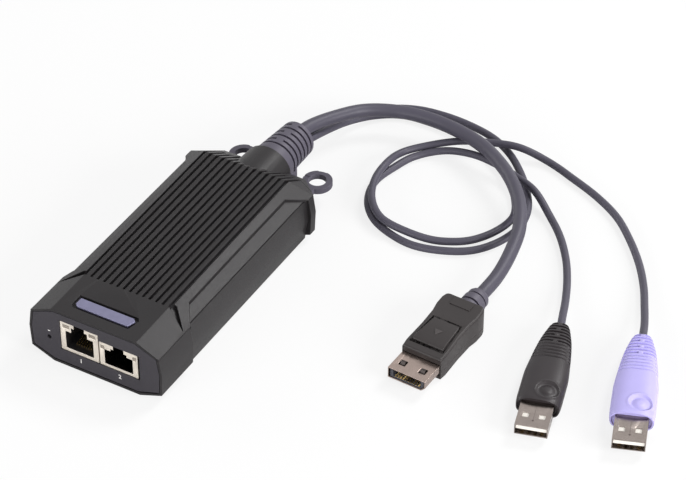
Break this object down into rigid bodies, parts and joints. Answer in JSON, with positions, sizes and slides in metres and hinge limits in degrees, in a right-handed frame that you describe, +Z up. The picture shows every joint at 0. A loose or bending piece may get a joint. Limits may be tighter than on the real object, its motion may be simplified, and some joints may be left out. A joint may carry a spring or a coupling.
{
  "type": "kvm adapter module",
  "caption": "Finned pocket-size case with side by side network jacks in front, and a slotted strain relief behind from which a video lead and thin data leads run to their plugs.",
  "frame": {"origin": "centre of the case footprint, midway between the front face and the rear edge, on the surface that the case lies on", "axes": "+Z up, +Y from the jacks towards the strain relief, +X to the right when looking at the finned top with the jacks nearest"},
  "size_m": [0.218, 0.2009, 0.0268],
  "materials": {
    "case_plastic": "fine textured charcoal",
    "plate_metal": "satin lavender silver",
    "circuit_board": "satin",
    "screw_steel": "satin",
    "shield_metal": "satin, pale",
    "black_plastic": "matte",
    "insert_plastic": "matte",
    "gold_contacts": "polished",
    "clear_plastic": "clear",
    "pale_plastic": "matte",
    "pad_rubber": "soft",
    "sink_aluminium": "brushed",
    "dark_core": "matte",
    "lead_rubber": "matte grey",
    "relief_rubber": "matte grey",
    "plug_plastic": "satin",
    "black_grip": "satin",
    "purple_grip": "satin lilac",
    "shell_metal": "plated"
  },
  "bodies": {
    "adapter": {"top_cover": "case_plastic", "bottom_cover": "case_plastic", "front_panel": "case_plastic", "name_plate": "plate_metal", "main_board": "circuit_board", "board_screws": "screw_steel", "cover_screws": "screw_steel", "jack_1_shield": "shield_metal", "jack_1_housing": "black_plastic", "jack_1_contacts": "gold_contacts", "jack_1_light_pipes": "clear_plastic", "jack_2_shield": "shield_metal", "jack_2_housing": "black_plastic", "jack_2_contacts": "gold_contacts", "jack_2_light_pipes": "clear_plastic", "reset_switch": "black_plastic", "video_processor": "black_plastic", "thermal_pad": "pad_rubber", "heat_sink": "sink_aluminium", "memory_chips": "black_plastic", "network_magnetics": "black_plastic", "network_chip": "black_plastic", "usb_chip": "black_plastic", "power_inductor": "dark_core", "capacitors": "sink_aluminium", "crystal": "screw_steel", "dp_header": "pale_plastic", "usb_headers": "pale_plastic", "dp_inner_lead": "lead_rubber", "usb_inner_leads": "lead_rubber", "strain_relief": "relief_rubber", "dp_cable": "lead_rubber", "usb_black_cable": "lead_rubber", "usb_purple_cable": "lead_rubber", "dp_boot": "relief_rubber", "dp_plug_lead": "lead_rubber", "dp_upper_housing": "plug_plastic", "dp_lower_housing": "plug_plastic", "dp_shell": "shell_metal", "dp_liner": "insert_plastic", "dp_contacts": "gold_contacts", "dp_paddle_board": "circuit_board", "usb_black_grip": "black_grip", "usb_black_shell": "shell_metal", "usb_black_tongue": "insert_plastic", "usb_black_contacts": "gold_contacts", "usb_purple_grip": "purple_grip", "usb_purple_shell": "shell_metal", "usb_purple_tongue": "insert_plastic", "usb_purple_contacts": "gold_contacts"},
    "plunger": {"reset_plunger": "pale_plastic"},
    "latch_button": {"dp_latch_button": "plug_plastic"},
    "latch_hooks": {"dp_latch_hooks": "shell_metal"}
  },
  "joints": [
    {"name": "reset_press", "type": "slide", "parent": "adapter", "child": "plunger", "axis": [0, 1, 0], "range_m": [0, 0.0003], "stiffness_N_per_m": 1500},
    {"name": "latch_press", "type": "hinge", "parent": "adapter", "child": "latch_button", "pos_m": [0.10106, 0.02022, 0.01], "axis": [0.999, -0.0436, 0], "range_deg": [0, 3], "stiffness_Nm_per_rad": 0.3},
    {"name": "hook_drop", "type": "hinge", "parent": "adapter", "child": "latch_hooks", "pos_m": [0.10106, 0.02022, 0.0055], "axis": [0.999, -0.0436, 0], "range_deg": [0, 2.1], "stiffness_Nm_per_rad": 0.1}
  ],
  "couplings": [
    {"joint": "hook_drop", "follows": "latch_press", "ratio": 0.7}
  ]
}
